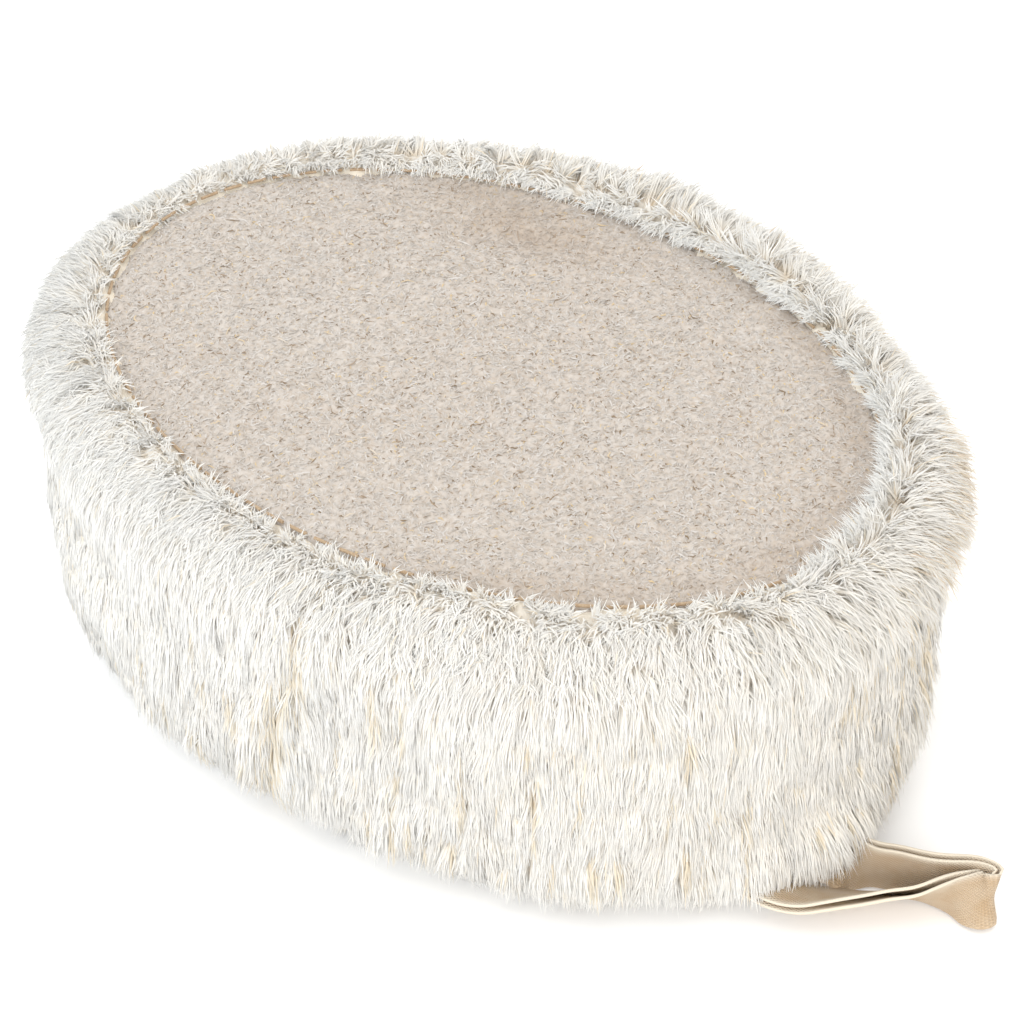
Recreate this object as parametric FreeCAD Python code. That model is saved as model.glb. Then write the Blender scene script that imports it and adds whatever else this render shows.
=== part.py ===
import FreeCAD, Part
import math
import os

# Oval loofah bath pad with a plush band and a hanging loop.  Millimetres, +Z up.
# The origin is the centre of the flat underside, on the surface the pad lies on.
# +X runs along the long axis, towards the end where the loop is sewn in.

# Whole pad, pile included
LENGTH = 150.0
WIDTH = 113.0
HEIGHT = 57.5
TOP_ROUND = 9.0
BOTTOM_ROUND = 14.0

# Plush band and back panel
PILE = 10.7             # base knit and pile together, measured outwards
LIP_REACH = 0.8         # how far the band's lip leans in over the edge of the loofah
LIP_ROUND = 1.8
PARTING_Z = 4.2         # height at which the two piles meet outside the back seam
BACK_PANEL = 8.2        # thickness of the back panel under the foam
FOOT = 2.8              # how far the band turns in under the foam
SEAM_GAP = 0.15         # slack between pieces that are only sewn together at their edges

# Loofah face and its backing
FACE_TOP_Z = 54.0
FACE_THICK = 6.0
FACE_ROUND = 1.2
CLOTH_THICK = 0.8

# Foam
CORE_EDGE_ROUND = 3.0
ALLOWANCE_DEPTH = 4.5   # how far the sewn edges of the plush reach in under the foam
ALLOWANCE_HEIGHT = 2.6
JOIN_GROOVE = 1.4       # depth of the groove over the band's end join
JOIN_GROOVE_WIDTH = 9.0
JOIN_ANGLE = -78.0      # place of the end join on the oval, as its parameter in degrees

# Sewing thread
THREAD = 0.5
SEAM_STITCH = 3.0
SEAM_PITCH = 4.2
JOIN_STITCH = 2.6
JOIN_PITCH = 3.8
CLOSING_STITCH = 3.4
CLOSING_PITCH = 5.0
CLOSING_SLANT = 28.0    # degrees, the lean of the hand stitches
CLOSING_HALF = 30.0     # degrees of the oval each side of its -X end, closed by hand

# Tape of the hanging loop
TAPE_WIDTH = 9.0        # folded in half along its length
TAPE_THICK = 1.2        # both layers
ROOT_SPACING = 11.4     # between the centres of the two sewn ends, along the seam
SEWN_DEPTH = 10.6       # how far the sewn ends reach in from the hinge line
SEWN_CLEAR = 1.4        # bare stretch between the sewn ends and the hinge line
HINGE = (70.0, -15.1, 4.8)
HINGE_TURN = 68.8       # degrees from +X, the run of the back seam where the loop is sewn in
NEAR_END = (91.65, -3.9)
TIP = (92.1, -1.35)
FAR_END = (89.55, -0.9)
FAR_BOW = (79.9, -4.1)
ROOT_BACK = 0.3         # how far the free tape starts behind the hinge line
ROOT_HALF = 0.6         # half the height of the tape where it lies flat at its root
RISE_START = 3.95       # distances out from the hinge line over which the upper edge rises
RISE_END = 7.85
DROP_END = 4.5          # and over which the lower edge drops
TACK_ROWS = 3
TACK_ROW_PITCH = 1.4
TACKS_PER_ROW = 4
TACK_LENGTH = 1.6

os.makedirs("parts", exist_ok=True)


def vector(x, y, z):
    return FreeCAD.Vector(x, y, z)


def oval(inset, low, high):
    """Upright oval block, inset from the outline of the pad."""
    ring = Part.Ellipse(vector(0, 0, low), LENGTH / 2 - inset, WIDTH / 2 - inset)
    return Part.Face(Part.Wire(ring.toShape())).extrude(vector(0, 0, high - low))


def edges_at(shape, z):
    """Edges that lie wholly at one height."""
    return [e for e in shape.Edges if abs(e.BoundBox.ZMin - z) + abs(e.BoundBox.ZMax - z) < 0.001]


def on_oval(inset, angle):
    """Point and unit tangent on an inset oval, at a parameter in radians."""
    a = LENGTH / 2 - inset
    b = WIDTH / 2 - inset
    along = vector(-a * math.sin(angle), b * math.cos(angle), 0)
    along.normalize()
    return vector(a * math.cos(angle), b * math.sin(angle), 0), along


def walk_oval(inset, first, last, pitch):
    """Parameters of evenly spaced places along an inset oval."""
    steps = 2000
    travelled = 0.0
    found = []
    before = on_oval(inset, first)[0]
    for i in range(1, steps + 1):
        angle = first + (last - first) * i / steps
        here = on_oval(inset, angle)[0]
        travelled += here.distanceToPoint(before)
        before = here
        if travelled >= pitch * (len(found) + 0.5):
            found.append(angle)
    return found


def stitch(centre, direction, length):
    """One short length of thread."""
    return Part.makeCylinder(THREAD / 2, length, centre - direction * (length / 2), direction)


def seam_stitches(inset, z, first, last):
    """A row of machine stitches along an inset oval."""
    row = []
    for angle in walk_oval(inset, first, last, SEAM_PITCH):
        place, along = on_oval(inset, angle)
        row.append(stitch(place + vector(0, 0, z), along, SEAM_STITCH))
    return row


def hinge_frame(out, along, up):
    """Point at distances out from, along and above the hinge line of the loop."""
    turn = math.radians(HINGE_TURN)
    x = HINGE[0] + out * math.sin(turn) + along * math.cos(turn)
    y = HINGE[1] - out * math.cos(turn) + along * math.sin(turn)
    return vector(x, y, HINGE[2] + up)


def hinge_box(out_low, out_high, along_low, along_high, up_low, up_high):
    """Block with its sides square to the hinge line."""
    base = [
        hinge_frame(out_low, along_low, up_low),
        hinge_frame(out_high, along_low, up_low),
        hinge_frame(out_high, along_high, up_low),
        hinge_frame(out_low, along_high, up_low),
    ]
    return Part.Face(Part.makePolygon(base + base[:1])).extrude(vector(0, 0, up_high - up_low))


def save(name, shape):
    shape.exportStep("parts/" + name + ".step")


# Heights and insets that follow from the sizes above
face_low = FACE_TOP_Z - FACE_THICK
cloth_low = face_low - CLOTH_THICK
lip_low = FACE_TOP_Z + SEAM_GAP
foot_top = BACK_PANEL
foot_inset = PILE + FOOT
core_low = foot_top + SEAM_GAP
core_high = cloth_low - SEAM_GAP
core_inset = PILE + SEAM_GAP

# --- Outer envelope, shared by the band and the back panel
envelope = oval(0, 0, HEIGHT)
envelope = envelope.makeFillet(TOP_ROUND, edges_at(envelope, HEIGHT))
envelope = envelope.makeFillet(BOTTOM_ROUND, edges_at(envelope, 0))

# --- Sewn ends of the loop: two flat tabs of tape side by side in the back seam
sewn_low = PARTING_Z - HINGE[2]
sewn_ends = []
sewn_slots = []
for side in (-1, 1):
    middle = side * ROOT_SPACING / 2
    low = middle - TAPE_WIDTH / 2
    high = middle + TAPE_WIDTH / 2
    tab = hinge_box(-SEWN_DEPTH, -SEWN_CLEAR, low, high, sewn_low, sewn_low + TAPE_THICK)
    sewn_ends.append(tab)
    slot_top = sewn_low + TAPE_THICK + 2 * THREAD
    slot = hinge_box(-SEWN_DEPTH - 1, 1, low - SEAM_GAP, high + SEAM_GAP, sewn_low - 1, slot_top)
    sewn_slots.append(slot)
save("loop_sewn_ends", Part.Compound(sewn_ends))

# --- Bar tacks: short rows of thread across each sewn end, on top of the tape
tacks = []
for side in (-1, 1):
    for row in range(TACK_ROWS):
        out = -SEWN_DEPTH + 2 + row * TACK_ROW_PITCH
        for i in range(TACKS_PER_ROW):
            step = TAPE_WIDTH / (TACKS_PER_ROW + 0.5)
            along = side * ROOT_SPACING / 2 + (i - (TACKS_PER_ROW - 1) / 2) * step
            up = sewn_low + TAPE_THICK + THREAD / 2 + SEAM_GAP / 3
            start = hinge_frame(out, along - TACK_LENGTH / 2, up)
            end = hinge_frame(out, along + TACK_LENGTH / 2, up)
            run = (end - start).normalize()
            tacks.append(stitch((start + end) * 0.5, run, TACK_LENGTH))
save("loop_bartack_stitches", Part.Compound(tacks))

# --- Side band: plush wall round the foam, turned in at the foot and leaning in at the lip
side_band = envelope.common(oval(-1, PARTING_Z, HEIGHT + 1))
side_band = side_band.cut(oval(PILE, foot_top, lip_low))
side_band = side_band.cut(oval(foot_inset, 0, foot_top))
side_band = side_band.cut(oval(PILE + LIP_REACH, lip_low, HEIGHT + 1))
inner_rim = [e for e in edges_at(side_band, HEIGHT) if e.BoundBox.XMax < LENGTH / 2 - PILE]
side_band = side_band.makeFillet(LIP_ROUND, inner_rim)
for slot in sewn_slots:
    side_band = side_band.cut(slot)
save("side_band", side_band)

# --- Back panel: plush underside, its pile spreading under the band's foot
back_flange = envelope.common(oval(-1, 0, PARTING_Z - SEAM_GAP))
back_plug = oval(foot_inset + SEAM_GAP, 1, BACK_PANEL)
back_panel = back_flange.fuse(back_plug).removeSplitter()
save("back_panel", back_panel)

# --- Foam core, with room under its edge for the sewn allowances and a groove at the band's join
foam_core = oval(core_inset, core_low, core_high)
foam_core = foam_core.makeFillet(CORE_EDGE_ROUND, edges_at(foam_core, core_high))
allowance_ring = oval(PILE - 1, core_low - 1, core_low + ALLOWANCE_HEIGHT)
allowance_ring = allowance_ring.cut(oval(core_inset + ALLOWANCE_DEPTH, core_low - 2, core_high))
foam_core = foam_core.cut(allowance_ring)
join_place, join_along = on_oval(core_inset, math.radians(JOIN_ANGLE))
join_out = join_along.cross(vector(0, 0, 1))
groove_corner = join_place - join_out * JOIN_GROOVE - join_along * (JOIN_GROOVE_WIDTH / 2)
groove = Part.makePlane(4 * JOIN_GROOVE, JOIN_GROOVE_WIDTH, vector(0, 0, 0), vector(0, 0, 1))
groove = groove.extrude(vector(0, 0, HEIGHT))
groove.Placement = FreeCAD.Placement(
    groove_corner, FreeCAD.Rotation(vector(0, 0, 1), math.degrees(math.atan2(join_out.y, join_out.x)))
)
foam_core = foam_core.cut(groove)
save("foam_core", foam_core)

# --- Loofah face: pressed loofah panel, slightly rounded at its upper edge
loofah_face = oval(core_inset, face_low, FACE_TOP_Z)
loofah_face = loofah_face.makeFillet(FACE_ROUND, edges_at(loofah_face, FACE_TOP_Z))
save("loofah_face", loofah_face)

# --- Backing cloth, laminated under the loofah
face_backing_cloth = oval(core_inset, cloth_low, face_low)
save("face_backing_cloth", face_backing_cloth)

# --- Face seam: thread in the groove between the loofah and the lip of the band
face_seam_inset = PILE + LIP_REACH + THREAD
face_seam_z = FACE_TOP_Z + THREAD / 2 + SEAM_GAP / 3
face_seam = seam_stitches(face_seam_inset, face_seam_z, 0, 2 * math.pi)
save("face_seam_stitches", Part.Compound(face_seam))

# --- Back seam: thread along the sewn allowances under the foam, open where the pad was filled
back_seam_inset = core_inset + ALLOWANCE_DEPTH / 2
back_seam_z = foot_top + THREAD
closing_half = math.radians(CLOSING_HALF)
back_seam = seam_stitches(back_seam_inset, back_seam_z, closing_half - math.pi, math.pi - closing_half)
save("back_seam_stitches", Part.Compound(back_seam))

# --- Closing stitches: slanted hand stitches that close the filling gap at the -X end
closing = []
slant = FreeCAD.Rotation(vector(0, 0, 1), CLOSING_SLANT)
first = math.pi - closing_half
last = math.pi + closing_half
for angle in walk_oval(back_seam_inset, first, last, CLOSING_PITCH):
    place, along = on_oval(back_seam_inset, angle)
    closing.append(stitch(place + vector(0, 0, back_seam_z), slant.multVec(along), CLOSING_STITCH))
save("closing_stitches", Part.Compound(closing))

# --- Band join: upright stitches inside the wall, where the two ends of the band meet
join_column = join_place + join_out * (THREAD / 2 + SEAM_GAP / 3 - JOIN_GROOVE / 2)
join_low = core_low + ALLOWANCE_HEIGHT + JOIN_PITCH
join_count = int((core_high - join_low) / JOIN_PITCH)
join = []
for i in range(join_count):
    centre = join_column + vector(0, 0, join_low + i * JOIN_PITCH)
    join.append(stitch(centre, vector(0, 0, 1), JOIN_STITCH))
save("band_join_stitches", Part.Compound(join))

# --- Hanging loop: folded tape standing on edge, in two legs and a bight, low and flat at its roots
tape_low = SEAM_GAP * 2
near_root = hinge_frame(-ROOT_BACK, -ROOT_SPACING / 2, 0)
far_root = hinge_frame(-ROOT_BACK, ROOT_SPACING / 2, 0)
near_root.z = tape_low
far_root.z = tape_low
near_end = vector(*NEAR_END, tape_low)
tip = vector(*TIP, tape_low)
far_end = vector(*FAR_END, tape_low)
far_bow = vector(*FAR_BOW, tape_low)
centre_line = Part.Wire(
    [
        Part.LineSegment(near_root, near_end).toShape(),
        Part.Arc(near_end, tip, far_end).toShape(),
        Part.Arc(far_end, far_bow, far_root).toShape(),
    ]
)
outline = centre_line.makeOffset2D(TAPE_THICK / 2, 0, False, False, False)
ribbon = Part.Face(outline).extrude(vector(0, 0, TAPE_WIDTH))
half = TAPE_WIDTH / 2
profile = [
    (-2 * ROOT_BACK - TAPE_THICK, -ROOT_HALF),
    (0, -ROOT_HALF),
    (DROP_END, -half),
    (LENGTH / 3, -half),
    (LENGTH / 3, half),
    (RISE_END, half),
    (RISE_START, ROOT_HALF),
    (-2 * ROOT_BACK - TAPE_THICK, ROOT_HALF),
]
side_view = [hinge_frame(out, -LENGTH / 3, up) for out, up in profile]
sweep = hinge_frame(0, LENGTH * 2 / 3, 0) - hinge_frame(0, 0, 0)
room = Part.Face(Part.makePolygon(side_view + side_view[:1])).extrude(sweep)
hanging_loop = ribbon.common(room)
save("hanging_loop", hanging_loop)
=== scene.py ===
import math

import bpy
import mathutils.kdtree
import numpy as np
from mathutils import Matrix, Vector


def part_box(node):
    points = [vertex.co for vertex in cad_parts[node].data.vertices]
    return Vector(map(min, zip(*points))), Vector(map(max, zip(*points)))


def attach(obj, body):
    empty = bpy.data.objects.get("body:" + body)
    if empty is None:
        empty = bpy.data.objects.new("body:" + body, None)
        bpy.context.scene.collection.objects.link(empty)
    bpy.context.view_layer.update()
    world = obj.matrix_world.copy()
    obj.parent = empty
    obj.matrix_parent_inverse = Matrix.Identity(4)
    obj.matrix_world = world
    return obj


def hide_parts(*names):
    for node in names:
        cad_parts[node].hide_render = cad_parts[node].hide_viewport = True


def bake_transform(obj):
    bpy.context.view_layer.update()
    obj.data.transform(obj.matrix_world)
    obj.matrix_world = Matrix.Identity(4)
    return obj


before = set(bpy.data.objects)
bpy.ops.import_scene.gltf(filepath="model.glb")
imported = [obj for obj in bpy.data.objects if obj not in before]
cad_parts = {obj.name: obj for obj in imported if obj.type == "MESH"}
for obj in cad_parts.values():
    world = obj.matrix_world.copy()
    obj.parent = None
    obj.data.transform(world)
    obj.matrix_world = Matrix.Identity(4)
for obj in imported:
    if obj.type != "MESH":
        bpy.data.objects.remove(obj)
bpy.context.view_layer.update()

MM = 0.001
SEED = 756

# ---------------------------------------------------------------- sizes, from the frame
band_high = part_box("side_band")[1]
face_low, face_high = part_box("loofah_face")

HALF_LONG = band_high[0]            # half the pad's length, pile included
HALF_WIDE = band_high[1]
TOP = band_high[2]
FACE_TOP = face_high[2]
FACE_A = face_high[0]               # half axes of the loofah panel
FACE_B = face_high[1]

SEAM_INSET = HALF_LONG - FACE_A + 0.3 * MM
SIM_SHRINK = 1.0 * MM
SIM_CAP = 1.4 * MM
RELIEF = 0.45 * MM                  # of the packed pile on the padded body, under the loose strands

CLUMP_DENSITY = 2.6e6               # clumps per square metre before each region is thinned
STRANDS_PER_CLUMP = 7
STRAND_WIDTH = (0.15 * MM, 0.29 * MM)
WALL_LENGTH = 7.8 * MM              # of the clumps on the wall, before it is varied
LIGHT_THROUGH = 0.38                # share of translucent shading in the pile
LOCK_SPACING = 2.7 * MM             # between the locks that clumps are drawn into, about
CLUMP_RADIUS = 0.55 * MM
PILE_PIECES = 20
FIBRES = 48000
FIBRE_PIECES = 3
TAPE_HALF = 4.3 * MM                # half the folded tape's width
TAPE_THICK = 0.45 * MM
BULGES = (                          # angle and width in degrees; height, spread and depth in mm
    (-130, 26, 16, 20, 3.0),
    (-149, 22, 50, 12, 2.2),
    (27, 12, 48, 12, 0.5),
    (48, 12, 55, 9, -2.6),
    (70, 12, 56, 8, 0.8),
    (8, 13, 10, 16, 2.0),
    (-8, 8, 6, 9, 2.2),
    (-150, 20, 30, 16, 1.6),
    (26, 12, 20, 16, 1.4),
    (40, 9, 56, 8, -1.2),
    (-81, 9, 3, 7, -2.0),
    (-40, 12, 4, 8, 1.2),
    (-18, 13, 5, 9, 3.8),
)


# ---------------------------------------------------------------- small helpers
def unit(v):
    return v / np.maximum(np.linalg.norm(v, axis=-1, keepdims=True), 1e-12)


def smooth(x, low, high):
    t = np.clip((x - low) / (high - low), 0, 1)
    return t * t * (3 - 2 * t)


def lattice(points, period, seed):
    """Smooth value noise in -1..1 at an array of points, with the given period in metres."""
    p = points / period
    cell = np.floor(p).astype(np.int64)
    f = p - cell
    f = f * f * (3 - 2 * f)
    total = np.zeros(len(points))
    for dx in (0, 1):
        for dy in (0, 1):
            for dz in (0, 1):
                key = (cell[:, 0] + dx) * 73856093 ^ (cell[:, 1] + dy) * 19349663
                key = key ^ (cell[:, 2] + dz) * 83492791 ^ seed * 2654435761
                key = (key ^ (key >> 13)) * 1274126177 & 0x7FFFFFFF
                value = ((key ^ (key >> 16)) % 65536) / 32767.5 - 1
                wx = f[:, 0] if dx else 1 - f[:, 0]
                wy = f[:, 1] if dy else 1 - f[:, 1]
                wz = f[:, 2] if dz else 1 - f[:, 2]
                total += value * wx * wy * wz
    return total


def build(name, verts, faces):
    """Smooth-shaded mesh object from arrays of corners and of triangles or quads."""
    mesh = bpy.data.meshes.new(name)
    sides = faces.shape[1]
    mesh.vertices.add(len(verts))
    mesh.vertices.foreach_set("co", np.ascontiguousarray(verts, dtype=np.float32).ravel())
    mesh.loops.add(faces.size)
    mesh.loops.foreach_set("vertex_index", faces.astype(np.int32).ravel())
    mesh.polygons.add(len(faces))
    mesh.polygons.foreach_set("loop_start", np.arange(0, faces.size, sides, dtype=np.int32))
    mesh.polygons.foreach_set("use_smooth", np.full(len(faces), True))
    mesh.update(calc_edges=True)
    mesh.validate()
    thing = bpy.data.objects.new(name, mesh)
    bpy.context.scene.collection.objects.link(thing)
    return thing


def point_value(thing, name, values):
    thing.data.attributes.new(name, "FLOAT", "POINT").data.foreach_set(
        "value", np.ascontiguousarray(values, dtype=np.float32)
    )


def oval_inset(points):
    """How far inside the pad's outline each point is, in metres, measured on similar ovals."""
    ratio = HALF_WIDE / HALF_LONG
    x = points[:, 0]
    y = points[:, 1]
    inset = np.full(len(points), 8 * MM)
    for _ in range(12):
        a = HALF_LONG - inset
        b = HALF_WIDE - inset
        value = np.sqrt((x / a) ** 2 + (y / b) ** 2)
        inset = np.clip(inset + (1 - value) * a * ratio, -20 * MM, HALF_WIDE - 1 * MM)
    radius = np.sqrt((x / HALF_LONG) ** 2 + (y / HALF_WIDE) ** 2)
    return np.where(radius < 0.6, (1 - radius) * HALF_WIDE, inset)


# ---------------------------------------------------------------- node materials
class Nodes:
    """A material with a Principled shader and short calls to add nodes."""

    def __init__(self, name, roughness, specular=0.2, sheen=0.0, sheen_tint=(1, 1, 1)):
        self.material = bpy.data.materials.new(name)
        self.material.use_nodes = True
        self.tree = self.material.node_tree
        self.shader = self.tree.nodes["Principled BSDF"]
        self.shader.inputs["Roughness"].default_value = roughness
        self.shader.inputs["Specular IOR Level"].default_value = specular
        self.shader.inputs["Sheen Weight"].default_value = sheen
        self.shader.inputs["Sheen Tint"].default_value = (*sheen_tint, 1)

    def add(self, kind, **values):
        node = self.tree.nodes.new(kind)
        for key, value in values.items():
            setattr(node, key, value)
        return node

    def link(self, a, b):
        self.tree.links.new(a, b)

    def place(self):
        return self.add("ShaderNodeTexCoord").outputs["Object"]

    def value(self, name):
        return self.add("ShaderNodeAttribute", attribute_name=name).outputs["Fac"]

    def noise(self, scale, detail, roughness=0.55):
        node = self.add("ShaderNodeTexNoise")
        node.inputs["Scale"].default_value = scale
        node.inputs["Detail"].default_value = detail
        node.inputs["Roughness"].default_value = roughness
        self.link(self.place(), node.inputs["Vector"])
        return node.outputs["Fac"]

    def ramp(self, fac, stops):
        node = self.add("ShaderNodeValToRGB")
        elements = node.color_ramp.elements
        while len(elements) < len(stops):
            elements.new(0.5)
        for element, (position, colour) in zip(elements, stops):
            element.position = position
            element.color = (*colour, 1)
        self.link(fac, node.inputs["Fac"])
        return node.outputs["Color"]

    def mix(self, fac, a, b, blend="MIX"):
        node = self.add("ShaderNodeMix", data_type="RGBA", blend_type=blend)
        for socket, value in ((node.inputs[0], fac), (node.inputs[6], a), (node.inputs[7], b)):
            if isinstance(value, bpy.types.NodeSocket):
                self.link(value, socket)
            elif isinstance(value, tuple):
                socket.default_value = (*value, 1)
            else:
                socket.default_value = value
        return node.outputs[2]

    def math(self, operation, a, b=0.0):
        node = self.add("ShaderNodeMath", operation=operation)
        for socket, value in zip(node.inputs, (a, b)):
            if isinstance(value, bpy.types.NodeSocket):
                self.link(value, socket)
            else:
                socket.default_value = value
        return node.outputs[0]

    def colour(self, socket):
        self.link(socket, self.shader.inputs["Base Color"])

    def bump(self, height, distance, strength=1.0):
        node = self.add("ShaderNodeBump")
        node.inputs["Strength"].default_value = strength
        node.inputs["Distance"].default_value = distance
        self.link(height, node.inputs["Height"])
        self.link(node.outputs["Normal"], self.shader.inputs["Normal"])


def wear(thing, nodes):
    thing.data.materials.clear()
    thing.data.materials.append(nodes.material)


def soft_pile(m, body):
    """Lets light through the strands, as fine cotton does."""
    m.colour(body)
    through = m.add("ShaderNodeBsdfTranslucent")
    m.link(body, through.inputs["Color"])
    both = m.add("ShaderNodeMixShader")
    both.inputs["Fac"].default_value = LIGHT_THROUGH
    m.link(m.shader.outputs["BSDF"], both.inputs[1])
    m.link(through.outputs["BSDF"], both.inputs[2])
    m.link(both.outputs["Shader"], m.tree.nodes["Material Output"].inputs["Surface"])


def pile_material():
    """Cream pile, nearly white at the tips, a little different in each strand; the tan towards the roots is
    painted shade deep in the pile.
    """
    m = Nodes("pile", roughness=0.9, specular=0.05)
    along = m.value("along")
    strand = m.value("tone")
    # painted shade: each strand turns tan towards its root, where shade falls deep in the pile
    body = m.ramp(along, [
        (0.0, (0.95, 0.82, 0.64)), (0.35, (0.98, 0.935, 0.85)),
        (0.65, (0.99, 0.978, 0.94)), (1.0, (0.992, 0.987, 0.963)),
    ])
    # tones below 0.2 are tan: painted shade on the back-right shoulder and in the crease, and the partings'
    # tan
    tint = m.ramp(strand, [
        (0.0, (0.76, 0.60, 0.48)), (0.12, (0.92, 0.81, 0.64)),
        (0.2, (0.98, 0.93, 0.82)), (0.3, (1, 0.99, 0.97)), (1.0, (1, 1, 1)),
    ])
    soft_pile(m, m.mix(1.0, body, tint, "MULTIPLY"))
    return m


def packed_pile_material():
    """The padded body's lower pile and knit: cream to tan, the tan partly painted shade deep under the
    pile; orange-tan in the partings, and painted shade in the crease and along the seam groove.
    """
    m = Nodes("packed_pile", roughness=0.95, specular=0.05)
    fine = m.noise(700, 4)
    body = m.ramp(fine, [(0.25, (0.93, 0.83, 0.68)), (0.75, (0.975, 0.92, 0.82))])
    # the parting value brings the partings' tan, and painted shade in the crease and along the seam groove
    soft_pile(m, m.mix(m.value("parting"), body, (0.98, 0.86, 0.66)))
    m.bump(fine, 0.0003)
    return m


def loofah_material():
    """Pressed loofah mat: mottled beige with dark specks, browner where the painted shade is high."""
    m = Nodes("pressed_loofah", roughness=0.9, specular=0.05)
    fine = m.noise(1300, 4, 0.6)
    mottle = m.noise(160, 3)
    broad = m.noise(28, 2)
    body = m.ramp(fine, [
        (0.26, (0.21, 0.15, 0.10)), (0.34, (0.345, 0.29, 0.235)),
        (0.50, (0.43, 0.385, 0.342)), (0.72, (0.505, 0.47, 0.43)),
    ])
    body = m.mix(m.math("MULTIPLY", mottle, 0.30), body, (0.43, 0.36, 0.30))
    # painted shade: browner where the shade value is high
    body = m.mix(m.math("MULTIPLY", m.value("shade"), 0.75), body, (0.31, 0.235, 0.17))
    tint = m.ramp(broad, [(0.35, (0.96, 0.94, 0.92)), (0.65, (1, 1, 1))])
    m.colour(m.mix(1.0, body, tint, "MULTIPLY"))
    m.bump(fine, 0.0003, 0.6)
    return m


def fibre_material():
    """Single loofah fibres: a few dark brown, most of them beige, a few straw-coloured."""
    m = Nodes("loofah_fibre", roughness=0.8, specular=0.1)
    body = m.ramp(m.value("tone"), [
        (0.0, (0.15, 0.10, 0.055)), (0.04, (0.25, 0.18, 0.12)), (0.09, (0.38, 0.325, 0.27)),
        (0.60, (0.44, 0.40, 0.36)), (0.93, (0.52, 0.485, 0.45)), (1.0, (0.52, 0.37, 0.185)),
    ])
    # painted shade: the fibres turn browner with the loofah's painted shade
    m.colour(m.mix(m.math("MULTIPLY", m.value("shade"), 0.7), body, (0.30, 0.22, 0.155)))
    return m


def thread_material():
    m = Nodes("sewing_thread", roughness=0.7)
    ply = m.noise(2600, 2)
    m.colour(m.ramp(ply, [(0.3, (0.26, 0.165, 0.09)), (0.7, (0.37, 0.26, 0.155))]))
    m.bump(ply, 0.0002)
    return m


def foam_material():
    m = Nodes("sponge", roughness=0.95)
    cells = m.noise(700, 5, 0.7)
    m.colour(m.ramp(cells, [(0.35, (0.62, 0.55, 0.38)), (0.6, (0.88, 0.84, 0.70))]))
    m.bump(cells, 0.0006)
    return m


def cloth_material():
    m = Nodes("backing_cotton", roughness=0.9)
    weave = m.noise(1500, 2)
    m.colour(m.ramp(weave, [(0.3, (0.70, 0.65, 0.55)), (0.7, (0.86, 0.82, 0.74))]))
    m.bump(weave, 0.0003)
    return m


def tape_material():
    """Unbleached cotton tape, plain weave, from the tape's own lengthwise and crosswise measures."""
    m = Nodes("cotton_tape", roughness=0.85, sheen=0.15, sheen_tint=(1, 0.97, 0.9))
    run = m.value("run")
    across = m.value("across")
    warp = m.math("SINE", m.math("MULTIPLY", across, 2 * math.pi / (0.45 * MM)))
    weft = m.math("SINE", m.math("MULTIPLY", run, 2 * math.pi / (0.55 * MM)))
    weave = m.math("MULTIPLY", warp, weft)
    blotch = m.noise(220, 3)
    body = m.ramp(blotch, [(0.3, (0.42, 0.27, 0.14)), (0.7, (0.53, 0.40, 0.265))])
    dark = m.ramp(m.math("ADD", m.math("MULTIPLY", weave, 0.5), 0.5),
                  [(0.0, (0.84, 0.80, 0.74)), (0.6, (1, 1, 1))])
    body = m.mix(1.0, body, dark, "MULTIPLY")
    # painted highlight: the tape's top edges are lighter cream, where the light catches them
    edge = m.value("edge")
    m.colour(m.mix(edge, body, (0.66, 0.57, 0.44)))
    m.bump(weave, 0.00012)
    return m


# ---------------------------------------------------------------- camera, lights, floor
def set_camera():
    """The photograph's angle: from the front right, 40 degrees up, with a long lens."""
    azimuth = math.radians(38.2)
    elevation = math.radians(40)
    distance = 396.4 * MM
    aim = Vector((0, 0, 30 * MM))
    back = Vector((
        math.sin(azimuth) * math.cos(elevation),
        -math.cos(azimuth) * math.cos(elevation),
        math.sin(elevation),
    ))
    data = bpy.data.cameras.new("camera")
    data.lens = 91.4
    data.sensor_width = 36
    data.shift_x = 0.029
    data.shift_y = -0.0193
    data.clip_start = 0.01
    camera = bpy.data.objects.new("camera", data)
    camera.location = aim + back * distance
    camera.rotation_mode = "QUATERNION"
    camera.rotation_quaternion = (-back).to_track_quat("-Z", "Y")
    bpy.context.scene.collection.objects.link(camera)
    bpy.context.scene.camera = camera


def area_light(name, place, size, power, colour):
    data = bpy.data.lights.new(name, "AREA")
    data.shape = "DISK"
    data.size = size
    data.energy = power
    data.color = colour
    lamp = bpy.data.objects.new(name, data)
    lamp.location = place
    lamp.rotation_mode = "QUATERNION"
    lamp.rotation_quaternion = (-Vector(place)).to_track_quat("-Z", "Y")
    bpy.context.scene.collection.objects.link(lamp)


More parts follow.
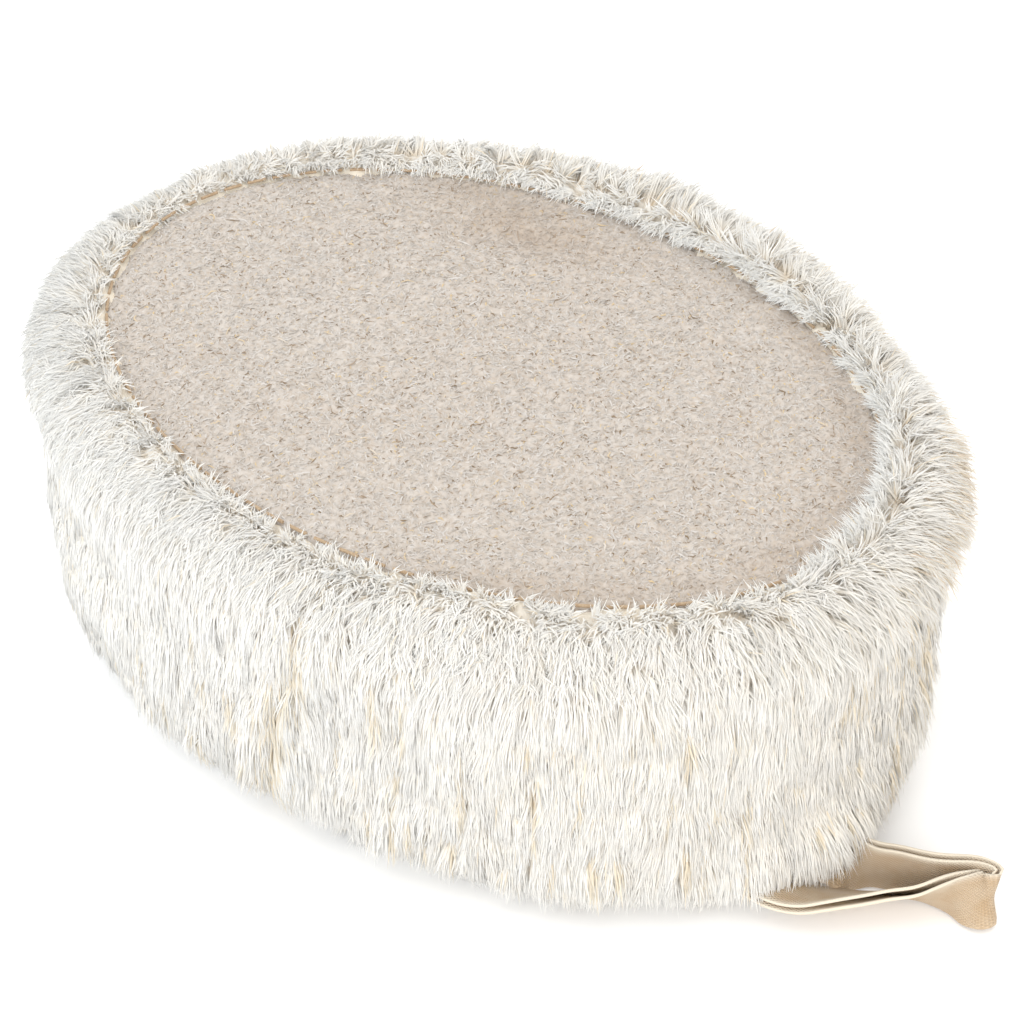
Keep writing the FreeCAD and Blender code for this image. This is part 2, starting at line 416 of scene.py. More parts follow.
def set_stage():
    bpy.context.scene.view_settings.view_transform = "Standard"
    bpy.context.scene.view_settings.gamma = 1.3
    world = bpy.data.worlds.new("studio")
    world.use_nodes = True
    sky = world.node_tree.nodes["Background"]
    sky.inputs["Color"].default_value = (1.0, 0.995, 0.98, 1)
    sky.inputs["Strength"].default_value = 1.0
    bpy.context.scene.world = world
    bpy.context.scene.cycles.diffuse_bounces = 8
    area_light("key_front", (0.14, -0.78, 0.52), 0.6, 4.0, (0.95, 0.975, 1.0))
    area_light("fill_left", (-0.70, -0.50, 0.40), 0.6, 1.8, (0.72, 0.87, 1.0))
    area_light("fill_top", (0.0, -0.15, 0.95), 0.7, 2.6, (1.0, 0.99, 0.98))
    area_light("fill_low", (0.30, -0.80, 0.14), 0.6, 1.7, (1.0, 0.98, 0.94))
    area_light("fill_right", (0.80, -0.20, 0.40), 0.7, 1.7, (1.0, 0.78, 0.50))
    area_light("fill_back", (-0.40, 0.85, 0.45), 0.7, 5.0, (1.0, 0.985, 0.965))
    bpy.ops.mesh.primitive_plane_add(size=6)
    floor = bpy.context.object
    floor.name = "floor"
    m = Nodes("pale_floor", roughness=0.9, specular=0.1)
    m.shader.inputs["Base Color"].default_value = (0.96, 0.96, 0.96, 1)
    floor.data.materials.append(m.material)


# ---------------------------------------------------------------- padded ground under the pile
def wall_inset(height):
    """The wall leans out towards the lip and in towards the foot."""
    return np.interp(height / MM, [0, 8, 20, 35, 46, 51], [6.0, 5.3, 4.5, 3.7, 2.9, 3.4]) * MM


def ground_profile():
    """Section of the padded body, as (inset, height) from the middle of the underside round to the top."""
    foot, foot_round = 2.4 * MM, 7.5 * MM
    lip, lip_round = FACE_TOP + 0.4 * MM, 4.6 * MM
    points = [(HALF_WIDE * s, foot) for s in (0.999, 0.8, 0.6, 0.4, 0.28)]
    for turn in np.linspace(0, math.pi / 2, 8):
        height = foot + foot_round * (1 - math.cos(turn))
        points.append((wall_inset(height) + foot_round * (1 - math.sin(turn)), height))
    points += [(wall_inset(z * MM), z * MM) for z in (16, 21, 26, 31, 36, 41, 45)]
    for turn in np.linspace(0, math.pi / 2, 8):
        height = lip - lip_round * (1 - math.sin(turn))
        points.append((wall_inset(height) + lip_round * (1 - math.cos(turn)), height))
    points += [(SEAM_INSET - 1.2 * MM, lip - 0.7 * MM), (SEAM_INSET, lip - 2.2 * MM)]
    points += [(SEAM_INSET + 1.0 * MM, FACE_TOP - 4 * MM)]
    points += [(HALF_WIDE * s, FACE_TOP - 4 * MM) for s in (0.4, 0.6, 0.8, 0.999)]
    return np.array(points)


def bulges(points):
    """How far the soft wall stands out from a true oval, in metres: it leans and sags a little."""
    angle = np.degrees(np.arctan2(points[:, 1] / HALF_WIDE, points[:, 0] / HALF_LONG))
    height = points[:, 2] / MM
    total = 0.5 * lattice(points, 24 * MM, 71) + 0.35 * lattice(points, 11 * MM, 72)
    for at, wide, level, tall, amount in BULGES:
        away = (angle - at + 180) % 360 - 180
        total += amount * np.exp(-((away / wide) ** 2) - ((height - level) / tall) ** 2)
    return total * MM


def left_side(points):
    """1 on the smooth wall at the left of the photograph, 0 away from it."""
    return smooth(-0.8 * points[:, 0] - 0.6 * points[:, 1], 42 * MM, 58 * MM)


def parting(points):
    """How much each place on the wall lies in a parting of the pile, from 0 to 1."""
    mean_radius = 62 * MM
    arc = np.arctan2(points[:, 1] / HALF_WIDE, points[:, 0] / HALF_LONG) * mean_radius
    streak = np.stack([arc, points[:, 2] * 0.10, np.zeros(len(points))], axis=1)
    calm = left_side(points)
    value = lattice(streak, 1.2 * MM, 21) + 0.14 * lattice(streak, 9 * MM, 22) - 0.35 * calm
    wall = smooth(points[:, 2], 4 * MM, 10 * MM) * (1 - smooth(points[:, 2], 40 * MM, 47 * MM))
    return smooth(value, 0.52, 0.62) * wall


def crease_distance(points):
    """Distance along the wall from the crease at the front, positive to its right, in metres."""
    line = np.interp(points[:, 2] / MM, [8, 12, 30, 50], [0.3, 0.8, 4.6, 12.0]) * MM
    front = points[:, 1] < -HALF_WIDE * 0.8
    return np.where(front, points[:, 0] - line, 1.0)


def seam_depth(points, inset):
    """1 along the groove between lip and loofah, 0 away from it."""
    return smooth(inset, SEAM_INSET - 1.6 * MM, SEAM_INSET - 0.2 * MM) * (points[:, 2] > FACE_TOP / 2)


def ground_body():
    """The padded body: cloth blown up a little, as by foam, with the relief of packed pile."""
    profile = ground_profile()
    around = 160
    turn = np.linspace(0, 2 * np.pi, around, endpoint=False)
    inset = profile[:, :1] + SIM_SHRINK * 0.5
    x = (HALF_LONG - inset) * np.cos(turn)
    y = (HALF_WIDE - inset) * np.sin(turn)
    z = np.repeat(profile[:, 1:], around, axis=1)
    verts = np.stack([x, y, z], axis=-1).reshape(-1, 3)
    row = np.arange(len(profile) - 1)[:, None] * around
    here = np.arange(around)[None]
    after = (here + 1) % around
    faces = np.stack([row + here, row + after, row + around + after, row + around + here], axis=-1)
    body = build("plush_ground", verts, faces.reshape(-1, 4))
    remesh = body.modifiers.new("remesh", "REMESH")
    remesh.mode = "VOXEL"
    remesh.voxel_size = 3.0 * MM
    bake_modifiers(body)
    inflate(body)
    body.data.polygons.foreach_set("use_smooth", np.full(len(body.data.polygons), True))
    divide = body.modifiers.new("divide", "SUBSURF")
    divide.levels = divide.render_levels = 2
    bake_modifiers(body)
    points = corners(body)
    normals = corner_normals(body)
    gap = parting(points)
    crease = np.exp(-((crease_distance(points) / (1.9 * MM)) ** 2))
    mean_radius = 60 * MM
    arc = np.arctan2(points[:, 1], points[:, 0]) * mean_radius
    streak = np.stack([arc, points[:, 2] * 0.3, np.zeros(len(points))], axis=1)
    relief = lattice(streak, 2.3 * MM, 51) + 0.6 * lattice(points, 3.1 * MM, 52)
    points += normals * (RELIEF * relief + 0.4 * MM * gap - 0.8 * MM * crease)[:, None]
    edge = 1 - smooth(oval_inset(points), 9 * MM, SEAM_INSET - 0.4 * MM)
    points += outward(points) * (bulges(points) * edge)[:, None]
    head = smooth(points[:, 2], 40 * MM, 52 * MM) * (1 - smooth(oval_inset(points), 8.5 * MM, 11 * MM))
    points[:, 2] += head * (0.4 + 1.5 * smooth(points[:, 1], -10 * MM, 35 * MM)) * MM
    points[:, 2] = np.maximum(points[:, 2], 1.2 * MM)
    set_corners(body, points)
    # painted shade: the crease and the seam groove are stored with the partings' tan in the parting value
    seam = seam_depth(points, oval_inset(points))
    point_value(body, "parting", np.clip(np.maximum.reduce([gap * 0.8, crease * 0.9, seam * 0.5]), 0, 1))
    return body


def bake_modifiers(thing):
    """Applies every modifier as it now stands."""
    graph = bpy.context.evaluated_depsgraph_get()
    result = bpy.data.meshes.new_from_object(thing.evaluated_get(graph))
    thing.modifiers.clear()
    thing.data = result


def corners(thing):
    flat = np.empty(len(thing.data.vertices) * 3, dtype=np.float32)
    thing.data.vertices.foreach_get("co", flat)
    return flat.reshape(-1, 3).astype(float)


def corner_normals(thing):
    flat = np.empty(len(thing.data.vertices) * 3, dtype=np.float32)
    thing.data.vertices.foreach_get("normal", flat)
    return flat.reshape(-1, 3).astype(float)


def set_corners(thing, points):
    thing.data.vertices.foreach_set("co", np.ascontiguousarray(points, dtype=np.float32).ravel())
    thing.data.update()


def inflate(thing):
    """Blows the padded body up by cloth simulation, and caps how far any point moves.
    """
    before = corners(thing)
    scene = bpy.context.scene
    last_frame = 20
    cloth = thing.modifiers.new("cloth", "CLOTH")
    cloth.settings.use_pressure = True
    cloth.settings.uniform_pressure_force = 4
    cloth.settings.effector_weights.gravity = 0
    cloth.settings.quality = 5
    cloth.point_cache.frame_start = 1
    cloth.point_cache.frame_end = last_frame
    for step in range(1, last_frame + 1):
        scene.frame_set(step)
    graph = bpy.context.evaluated_depsgraph_get()
    blown = bpy.data.meshes.new_from_object(thing.evaluated_get(graph))
    thing.modifiers.clear()
    thing.data = blown
    scene.frame_set(1)
    moved = corners(thing) - before
    far = np.linalg.norm(moved, axis=1, keepdims=True)
    moved *= np.minimum(1, SIM_CAP / np.maximum(far, 1e-9))
    after = before + moved
    after[:, 2] = np.maximum(after[:, 2], 2.0 * MM)
    set_corners(thing, after)


# ---------------------------------------------------------------- pile
STRAND_RINGS = ((0.0, 0.8), (0.5, 1.0), (1.0, 0.0))
FIBRE_RINGS = ((0.0, 0.7), (0.5, 1.0), (1.0, 0.0))


def scatter(thing, density, rng):
    """Random places on a mesh, with their normals, at so many per square metre."""
    mesh = thing.data
    mesh.calc_loop_triangles()
    tris = np.empty(len(mesh.loop_triangles) * 3, dtype=np.int32)
    mesh.loop_triangles.foreach_get("vertices", tris)
    tris = tris.reshape(-1, 3)
    points = corners(thing)
    normals = corner_normals(thing)
    a, b, c = points[tris[:, 0]], points[tris[:, 1]], points[tris[:, 2]]
    area = np.linalg.norm(np.cross(b - a, c - a), axis=1) / 2
    wanted = int(area.sum() * density)
    pick = rng.choice(len(tris), wanted, p=area / area.sum())
    u = np.sqrt(rng.random((wanted, 1)))
    v = rng.random((wanted, 1))
    w = np.hstack([1 - u, u * (1 - v), u * v])
    place = np.einsum("ij,ijk->ik", w, points[tris[pick]])
    return place, unit(np.einsum("ij,ijk->ik", w, normals[tris[pick]]))


def strand_mesh(name, rings, line, width, tone, soft, sheet_v):
    """One closed, tapered, curved strand for each row of line, which is (root, bend, tip).

    soft is the direction that each strand's shading leans to, so that a coat of them looks soft.
    sheet_v is where each strand lies across the texture sheet, for colours that vary with it.
    """
    root, bend, tip = line
    count = len(root)
    at = np.array([r[0] for r in rings])
    size = [r[1] for r in rings]
    t = at[None, :, None]
    path = (1 - t) ** 2 * root[:, None] + 2 * t * (1 - t) * bend[:, None] + t**2 * tip[:, None]
    run = unit(2 * (1 - t) * (bend - root)[:, None] + 2 * t * (tip - bend)[:, None])
    side = unit(np.cross(run, np.array([0.31, 0.17, 0.94])))
    up = np.cross(run, side)
    last = len(rings) - 1
    each = last * 3 + 1
    verts = np.empty((count, each, 3))
    normals = np.empty((count, each, 3))
    for i in range(last):
        for corner in range(3):
            angle = 2 * math.pi * corner / 3
            offset = math.cos(angle) * side[:, i] + math.sin(angle) * up[:, i]
            verts[:, i * 3 + corner] = path[:, i] + offset * (width * size[i] / 2)[:, None]
            normals[:, i * 3 + corner] = unit(offset * 0.16 + soft)
    verts[:, -1] = path[:, -1]
    normals[:, -1] = unit(run[:, -1] * 0.2 + soft)
    pattern = [(0, 2, 1)]
    for i in range(last - 1):
        for corner in range(3):
            a = i * 3 + corner
            b = i * 3 + (corner + 1) % 3
            pattern += [(a, b, b + 3), (a, b + 3, a + 3)]
    for corner in range(3):
        pattern.append(((last - 1) * 3 + corner, (last - 1) * 3 + (corner + 1) % 3, last * 3))
    faces = (np.array(pattern)[None] + np.arange(count)[:, None, None] * each).reshape(-1, 3)
    thing = build(name, verts.reshape(-1, 3), faces)
    along = np.append(np.repeat(at[:-1], 3), 1.0)
    point_value(thing, "along", np.tile(along, count))
    point_value(thing, "tone", np.repeat(tone, each))
    column = np.append(np.tile([-0.006, 0.0, 0.006], last), 0.0)
    u = 0.02 + 0.96 * np.repeat(tone, each) + np.tile(column, count)
    v = np.tile(along, count)
    if sheet_v is not None:
        v = np.repeat(sheet_v, each) + 0.01 * v
    uv = np.stack([u, 0.02 + 0.95 * v], axis=1)[faces.ravel()]
    thing.data.uv_layers.new(name="OFBake").uv.foreach_set("vector", uv.astype(np.float32).ravel())
    thing.data.normals_split_custom_set_from_vertices(normals.reshape(-1, 3).astype(np.float32))
    return thing


def outward(place):
    """Level unit direction square to the pad's outline, away from its middle."""
    return unit(np.stack(
        [place[:, 0] / HALF_LONG**2, place[:, 1] / HALF_WIDE**2, np.zeros(len(place))], axis=1
    ))


def on_surface(direction, normal):
    return unit(direction - normal * np.sum(direction * normal, axis=1, keepdims=True))


def pull_together(place, reach, amount, spacing, density, rng):
    """Draws each clump's tip towards the tip of the lock that it belongs to."""
    centres = rng.choice(len(place), int(len(place) / (density * spacing**2)), replace=False)
    tree = mathutils.kdtree.KDTree(len(centres))
    for i, centre in enumerate(centres):
        tree.insert(place[centre], i)
    tree.balance()
    nearest = np.array([centres[tree.find(p)[1]] for p in place])
    lock = reach[nearest] + (place[nearest] - place) * 0.85
    return reach * (1 - amount)[:, None] + lock * amount[:, None]


def pile(body, rng):
    """Clumps of strands: hanging on the wall, short and tousled on the lip, pressed flat underneath."""
    place, normal = scatter(body, CLUMP_DENSITY, rng)
    inset = oval_inset(place)
    lip = smooth(place[:, 2], 46 * MM, 51.5 * MM)
    under = normal[:, 2] < -0.8
    share = 0.56 + 0.44 * lip + 0.14 * left_side(place) * (1 - lip)
    share = np.where(under, 0.14, share) * (1 - 0.35 * parting(place))
    crease = crease_distance(place)
    share *= 1 - 0.8 * np.exp(-((crease / (1.1 * MM)) ** 2))
    share[(inset > SEAM_INSET - 0.3 * MM) & (place[:, 2] > FACE_TOP / 2)] = 0
    keep = rng.random(len(place)) < share
    place, normal, inset = place[keep], normal[keep], inset[keep]
    lip, under, crease = lip[keep], under[keep], crease[keep]
    count = len(place)

    out = outward(place)
    down = np.array([[0.0, 0.0, -1.0]])
    foot = 1 - smooth(place[:, 2], 6 * MM, 14 * MM)
    shaggy = smooth(place[:, 0] + place[:, 1], 10 * MM, 45 * MM) * lip
    calm = left_side(place) * (1 - lip)
    back = smooth(place[:, 1] + 0.25 * place[:, 0], -10 * MM, 25 * MM)
    turn_in = 1.25 + 0.45 * lattice(place, 13 * MM, 14) + 0.65 * back
    lean = 1 - turn_in * smooth(inset, 7.0 * MM, 11.2 * MM)
    tousled = rng.normal(0, 1, (count, 3)) * (0.13 + 0.20 * lip - 0.07 * calm)[:, None]
    hang = down * (1 - 0.4 * foot)[:, None] + out * (0.05 * foot)[:, None]
    lay = hang * (1 - lip)[:, None] + out * (lip * lean * 1.1)[:, None] + down * (0.2 * lip)[:, None]
    lay = on_surface(lay + tousled, normal)
    across = np.cross(normal, lay)
    swirl = 0.15 * lattice(place, 8 * MM, 11) + 0.13 * lattice(place, 21 * MM, 12)
    swirl = swirl * (1 - 0.8 * calm) + 0.35 * lip * lattice(place, 4.5 * MM, 13)
    lay = unit(lay + across * swirl[:, None])
    beside = np.exp(-np.maximum(crease, 0) / (5 * MM)) * (crease > 0) * (1 - lip)
    lay[:, 0] += 0.65 * beside
    lay = on_surface(lay, normal)

    near_seam = smooth(inset, 8 * MM, 11 * MM) * lip
    length = WALL_LENGTH * (1 - (0.42 - 0.10 * back) * lip - 0.32 * near_seam - 0.28 * calm)
    length *= 1 + 0.16 * lattice(place, 5 * MM, 5) + 0.3 * shaggy
    length *= rng.uniform(0.8, 1.1, count) * np.where(under, 0.8, 1.0) * (1 - 0.35 * foot)
    rise = 0.28 + 0.08 * lattice(place, 4 * MM, 7) * (1 - calm) - 0.08 * calm
    rise += (0.20 + 0.08 * back) * lip + 0.18 * near_seam + 0.12 * shaggy
    rise = np.where(under, 0.12, rise) * (1 - 0.35 * foot) + 0.12 * beside
    reach = normal * rise[:, None] + lay * np.sqrt(np.maximum(0, 1 - rise**2))[:, None]
    reach *= length[:, None]
    amount = np.clip(0.22 + 0.25 * lattice(place, 7 * MM, 31) - 0.2 * calm, 0, 0.75)
    amount = amount * (1 - 0.85 * lip) + 0.16 * shaggy
    thinned = 0.5 * CLUMP_DENSITY
    reach = pull_together(place, reach, amount, LOCK_SPACING, thinned, rng)

    per = STRANDS_PER_CLUMP
    total = count * per
    root = np.repeat(place, per, axis=0)
    n = np.repeat(normal, per, axis=0)
    whole = np.repeat(reach, per, axis=0) * rng.uniform(0.66, 1.06, (total, 1))
    turn = rng.uniform(0, 2 * np.pi, (total, 1))
    e1 = np.repeat(unit(across), per, axis=0)
    spread = (np.cos(turn) * e1 + np.sin(turn) * np.cross(n, e1)) * np.sqrt(rng.random((total, 1)))
    root = root + spread * CLUMP_RADIUS
    far = np.linalg.norm(whole, axis=1, keepdims=True)
    bend = root + n * far * np.repeat(0.16 + 0.22 * lip, per)[:, None] + whole * 0.42
    tip = root + whole + spread * rng.uniform(-0.5, 0.6, (total, 1)) * MM
    bend += rng.normal(0, 0.24 * MM, bend.shape)
    stray = np.repeat(0.24 + 0.30 * lip - 0.06 * calm, per) * MM
    tip += rng.normal(0, 1, tip.shape) * stray[:, None]
    width = rng.uniform(*STRAND_WIDTH, total)
    tone = 0.2 + 0.8 * (np.repeat(rng.random(count), per) * 0.5 + rng.random(total) * 0.5)
    # painted shade: tan strands on the outer shoulder of the back-right rim, the side turned from the light
    painted_shade_shoulder = smooth(place[:, 1] + 0.35 * place[:, 0], 18 * MM, 40 * MM)
    painted_shade_shoulder *= 1 - smooth(inset, 5.5 * MM, 8.5 * MM)
    painted_shade_shoulder = np.clip(painted_shade_shoulder * lip * (0.6 + 0.9 * lattice(place, 12 * MM, 15)), 0, 1)
    tone = np.where(rng.random(total) < np.repeat(painted_shade_shoulder * 0.65, per), rng.uniform(0.03, 0.18, total), tone)
    # tan strands: painted shade along the crease; along the partings, the knit's tan together with painted
    # shade
    near_crease = np.exp(-((crease / (1.8 * MM)) ** 2)) * (1 - lip)
    streaked = parting(bend) * np.repeat(1 - lip, per)
    tan_streak_and_crease_shade = np.maximum(streaked * 0.9, np.repeat(near_crease * 0.7, per)) + 0.02
    tone = np.where(rng.random(total) < tan_streak_and_crease_shade, rng.uniform(0.12, 0.19, total), tone)
    for part in (root, bend, tip):
        part[:, 2] = np.clip(part[:, 2], 0.3 * MM, TOP + 3.5 * MM)

    material = pile_material()
    angle = np.arctan2(root[:, 1] / HALF_WIDE, root[:, 0] / HALF_LONG)
    chunks = np.array_split(np.argsort(angle, kind="stable"), PILE_PIECES)
    print("pile: %d strands, %d in each piece" % (total, len(chunks[0])))
    for i, c in enumerate(chunks):
        line = (root[c], bend[c], tip[c])
        piece = strand_mesh(
            "plush_pile_%02d" % (i + 1), STRAND_RINGS, line, width[c], tone[c], n[c], None
        )
        wear(piece, material)
        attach(piece, "pad")


# ---------------------------------------------------------------- loofah face
def face_height(points):
    """Height of the loofah's surface, with its slight waves, its dent and its granular relief."""
    x, y = points[:, 0], points[:, 1]
    radius = np.sqrt((x / FACE_A) ** 2 + (y / FACE_B) ** 2)
    waves = 0.55 * lattice(points, 27 * MM, 41) + 0.22 * lattice(points, 8 * MM, 42)
    grain = 0.16 * lattice(points, 1.9 * MM, 43) + 0.12 * lattice(points, 0.9 * MM, 44)
    along = (x + 18 * MM) * 0.78 + (y - 29 * MM) * 0.62
    aside = -(x + 18 * MM) * 0.62 + (y - 29 * MM) * 0.78
    dent = -0.9 * np.exp(-((along / (15 * MM)) ** 2) - (aside / (4 * MM)) ** 2)
    calm = 1 - smooth(radius, 0.90, 0.97)
    puckers = 0.25 * lattice(points, 3.5 * MM, 45) * smooth(radius, 0.86, 0.93)
    edge = -1.2 * smooth(radius, 0.965, 1.0)
    crown = 0.35 * (1 - radius**2)
    return FACE_TOP + ((waves + dent + crown) * calm + grain + puckers + edge - 0.25) * MM


def face_shade(points):
    """Painted shade on the loofah: browner in a patch near the far rim and in a margin along the +X side.
    """
    x, y = points[:, 0], points[:, 1]
    patch = np.exp(-(((x + 20 * MM) / (19 * MM)) ** 2) - ((y - 35 * MM) / (9 * MM)) ** 2)
    radius = np.sqrt((x / FACE_A) ** 2 + (y / FACE_B) ** 2)
    margin = smooth(radius, 0.80, 0.95) * smooth(x, 5 * MM, 35 * MM)
    broken = 0.6 + 0.5 * lattice(points, 4 * MM, 46)
    return np.clip((patch * 1.1 + margin * 0.7) * broken, 0, 1)


def loofah_mat():
    """The pressed loofah: a dense relief grid over the oval, closed by its sides and underside."""
    nu, nv = 260, 190
    u, v = np.meshgrid(np.linspace(-1, 1, nu), np.linspace(-1, 1, nv), indexing="ij")
    x = FACE_A * u * np.sqrt(1 - v**2 / 2)
    y = FACE_B * v * np.sqrt(1 - u**2 / 2)
    top = np.stack([x.ravel(), y.ravel(), np.zeros(nu * nv)], axis=1)
    top[:, 2] = face_height(top)
    index = np.arange(nu * nv).reshape(nu, nv)
    quads = np.stack([index[:-1, :-1], index[1:, :-1], index[1:, 1:], index[:-1, 1:]], axis=-1)
    rim = np.concatenate([index[:-1, 0], index[-1, :-1], index[:0:-1, -1], index[0, :0:-1]])
    base = top[rim].copy()
    base[:, 2] = face_low[2]
    middle = np.array([[0, 0, face_low[2]]])
    verts = np.vstack([top, base, middle])
    first = nu * nv
    ring = np.arange(len(rim))
    after = (ring + 1) % len(rim)
    sides = np.stack([rim[ring], first + ring, first + after, rim[after]], axis=1)
    centre = np.full(len(ring), first + len(rim))
    under = np.stack([first + after, first + ring, centre], axis=1)
    quads = quads.reshape(-1, 4)
    tris = np.vstack([
        quads[:, [0, 1, 2]], quads[:, [0, 2, 3]], sides[:, [0, 1, 2]], sides[:, [0, 2, 3]], under
    ])
    mat = build("loofah_mat", verts, tris)
    point_value(mat, "shade", face_shade(verts))
    wear(mat, loofah_material())
    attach(mat, "pad")
    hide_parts("loofah_face")


def loofah_fibres(rng):
    """Short curved fibres pressed into the face, with their ends sunk in it."""
    count = FIBRES
    turn = rng.uniform(0, 2 * np.pi, count)
    radius = np.sqrt(rng.random(count)) * 0.98
    middle = np.stack([
        FACE_A * radius * np.cos(turn), FACE_B * radius * np.sin(turn), np.zeros(count)
    ], axis=1)
    heading = rng.uniform(0, 2 * np.pi, count)
    run = np.stack([np.cos(heading), np.sin(heading), np.zeros(count)], axis=1)
    side = np.stack([-run[:, 1], run[:, 0], np.zeros(count)], axis=1)
    long = rng.random(count) < 0.04
    half = np.where(long, rng.uniform(0.9, 2.0, count), rng.uniform(0.25, 0.75, count))[:, None] * MM
    root = middle - run * half
    tip = middle + run * half
    bend = middle + side * half * rng.normal(0, 0.6, (count, 1))
    root[:, 2] = face_height(root) - 0.10 * MM
    tip[:, 2] = face_height(tip) - 0.10 * MM
    bend[:, 2] = face_height(middle) + rng.uniform(0.10, 0.50, count) * MM
    width = rng.uniform(0.14, 0.30, count) * MM
    tone = rng.random(count)
    shade = face_shade(middle)
    up = np.tile([[0.0, 0.0, 1.0]], (count, 1))
    material = fibre_material()
    for i, c in enumerate(np.array_split(np.arange(count), FIBRE_PIECES)):
        line = (root[c], bend[c], tip[c])
        piece = strand_mesh(
            "loofah_fibres_%d" % (i + 1), FIBRE_RINGS, line, width[c], tone[c], up[c], shade[c]
        )
        point_value(piece, "shade", np.repeat(shade[c], 3 * len(FIBRE_RINGS) - 2))
        wear(piece, material)
        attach(piece, "pad")


# ---------------------------------------------------------------- hanging loop
def tape_path():
    """The folded tape's middle line in millimetres, and how far its open edge leans to the near side.

    It runs out from the near sewn end to the bight and back to the far one. The lean is in degrees.
    """
    return np.array([
        (59.3, -16.6, 4.8, 90), (63.0, -17.6, 4.8, 90), (67.0, -18.6, 4.6, 89),
        (70.5, -17.7, 4.3, 80), (73.9, -15.9, 4.2, 62), (77.4, -13.3, 4.2, 49),
        (81.0, -10.2, 4.3, 42), (84.6, -7.2, 4.4, 33), (88.0, -4.9, 4.5, 8),
        (90.6, -3.8, 4.5, -22), (92.3, -2.5, 4.4, -38), (92.2, -1.0, 4.4, -30),
        (89.6, -0.8, 4.5, -8), (86.0, -2.4, 4.5, 0), (82.4, -4.2, 4.5, 2),
        (79.2, -5.7, 4.5, 0), (76.2, -7.0, 4.5, -4), (73.6, -8.2, 4.4, -34),
        (71.2, -9.4, 4.5, -82), (67.4, -8.2, 4.8, -90), (63.3, -6.6, 4.8, -90),
    ])


def smooth_line(points, count):
    """A Catmull-Rom line through the points, as evenly spaced rows."""
    ends = np.vstack([2 * points[0] - points[1], points, 2 * points[-1] - points[-2]])
    t = np.linspace(0, 1, 24, endpoint=False)[:, None]
    rows = []
    for a, b, c, d in zip(ends, ends[1:], ends[2:], ends[3:]):
        rows.append(0.5 * (2 * b + (c - a) * t + (2 * a - 5 * b + 4 * c - d) * t**2
                           + (3 * b - a - 3 * c + d) * t**3))
    rows = np.vstack(rows + [points[-1:]])
    step = np.append(0, np.cumsum(np.linalg.norm(np.diff(rows[:, :3], axis=0), axis=1)))
    even = np.linspace(0, step[-1], count)
    return np.stack([np.interp(even, step, column) for column in rows.T], axis=1), even


def tape_section():
    """Across the folded tape: (offset from the fold's plane, height, distance across the cloth)."""
    low = -TAPE_HALF + 0.5 * MM
    high = TAPE_HALF
    gap_low, gap_high = 0.26 * MM, 0.62 * MM
    levels = np.linspace(high, low, 13)
    side = np.interp(levels, [low, high], [gap_low, gap_high])
    outer = np.stack([side, levels], axis=1)
    turn = np.linspace(0, math.pi, 7)[1:-1]
    fold = np.stack([gap_low * np.cos(turn), low - 0.3 * MM * np.sin(turn)], axis=1)
    inner = outer[::-1] * (-1, 1)
    middle = np.vstack([outer, fold, inner])
    step = np.append(0, np.cumsum(np.linalg.norm(np.diff(middle, axis=0), axis=1)))
    return middle, step


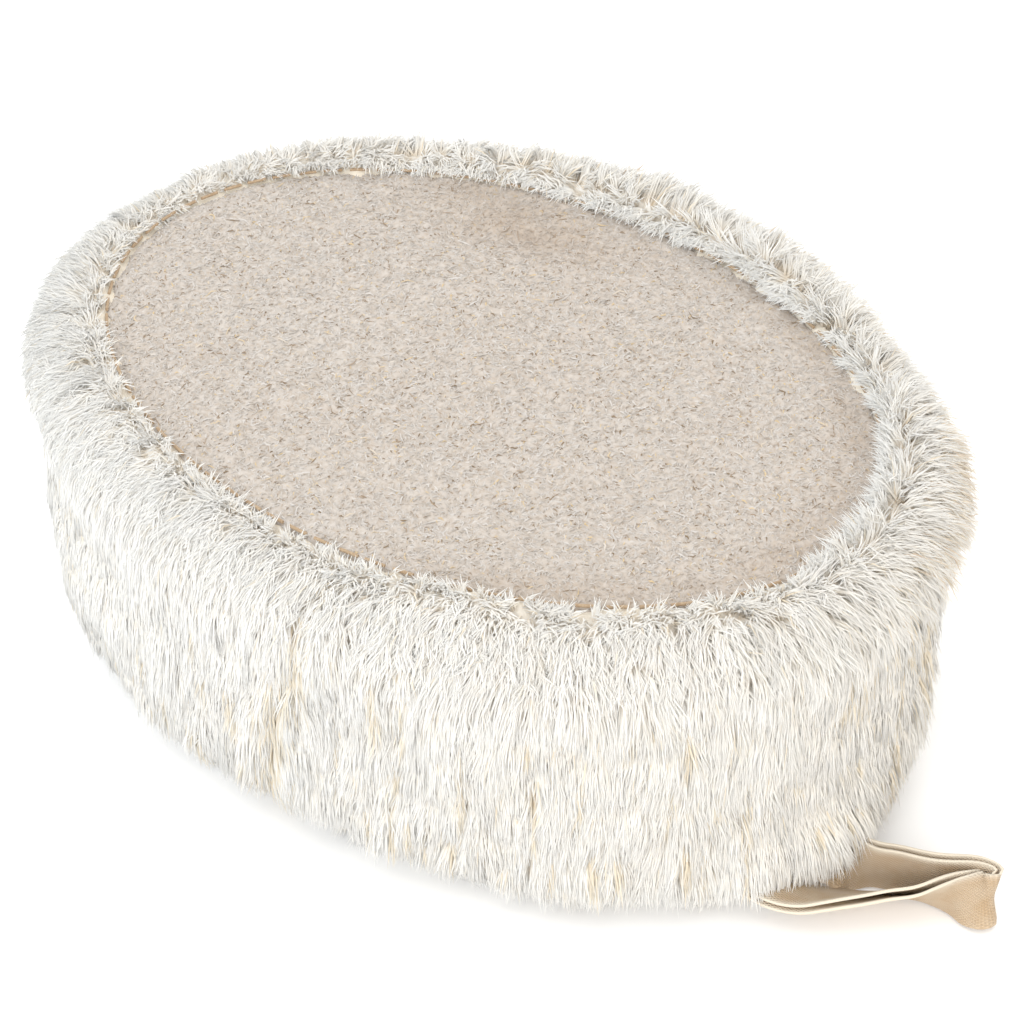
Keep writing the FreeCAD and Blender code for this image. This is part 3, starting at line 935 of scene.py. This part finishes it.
def tape_loop():
    """The hanging loop: cotton tape folded lengthwise, its fold down and its two edges up."""
    rows, run = smooth_line(tape_path(), 150)
    centre = rows[:, :3] * MM
    run = run * MM
    lean = np.radians(rows[:, 3:])
    heading = unit(np.gradient(centre, axis=0))
    near = np.array([[0.574, -0.819, 0.0]])     # level, 35 degrees to the right of the front
    up = np.array([[0.0, 0.0, 1.0]])
    wide = on_surface(np.sin(lean) * near + np.cos(lean) * up, heading)
    face = np.cross(heading, wide)
    middle, step = tape_section()
    along = unit(np.gradient(middle, axis=0))
    square = np.stack([along[:, 1], -along[:, 0]], axis=1)
    ring = np.vstack([middle + square * TAPE_THICK / 2, (middle - square * TAPE_THICK / 2)[::-1]])
    across = np.append(step, step[::-1])
    ripple = 0.25 * MM * lattice(centre, 5 * MM, 61)[:, None, None]
    sway = ripple * smooth(ring[:, 1], -TAPE_HALF, TAPE_HALF)[None, :, None]
    verts = centre[:, None] + face[:, None] * (ring[None, :, :1] + sway) + wide[:, None] * ring[None, :, 1:]
    verts[..., 2] = np.maximum(verts[..., 2], 0.15 * MM)
    size = len(ring)
    half = size // 2
    row = np.arange(len(centre) - 1)[:, None] * size
    here = np.arange(size)[None]
    after = (here + 1) % size
    skin = np.stack([row + here, row + after, row + size + after, row + size + here], axis=-1)
    j = np.arange(half - 1)
    start = np.stack([j, j + 1, size - 2 - j, size - 1 - j], axis=1)
    end = start[:, ::-1] + (len(centre) - 1) * size
    faces = np.vstack([skin.reshape(-1, 4), start[:, ::-1], end[:, ::-1]])
    tape = build("hanging_tape", verts.reshape(-1, 3), faces)
    point_value(tape, "run", np.repeat(run, size))
    point_value(tape, "across", np.tile(across, len(centre)))
    # painted highlight: edge is 1 at the two top edges of the folded tape, 0 elsewhere
    rim = 1 - smooth(np.minimum(across, step[-1] - across), 0.25 * MM, 0.9 * MM)
    point_value(tape, "edge", np.tile(rim, len(centre)))
    wear(tape, tape_material())
    print("tape: %.4f long, %.4f wide" % (run[-1], step[-1]))
    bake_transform(tape)
    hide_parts("hanging_loop", "loop_sewn_ends")


# ---------------------------------------------------------------- assembly
rng = np.random.default_rng(SEED)
set_camera()
set_stage()
ground = ground_body()
wear(ground, packed_pile_material())
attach(ground, "pad")
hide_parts("side_band", "back_panel")
pile(ground, rng)
loofah_mat()
loofah_fibres(rng)
tape_loop()

CAD_LOOKS = {
    "face_backing_cloth": cloth_material,
    "foam_core": foam_material,
    "face_seam_stitches": thread_material,
    "back_seam_stitches": thread_material,
    "closing_stitches": thread_material,
    "band_join_stitches": thread_material,
    "loop_bartack_stitches": thread_material,
}
for node, look in CAD_LOOKS.items():
    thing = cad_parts[node]
    thing.data.materials.clear()
    thing.data.materials.append(look().material)
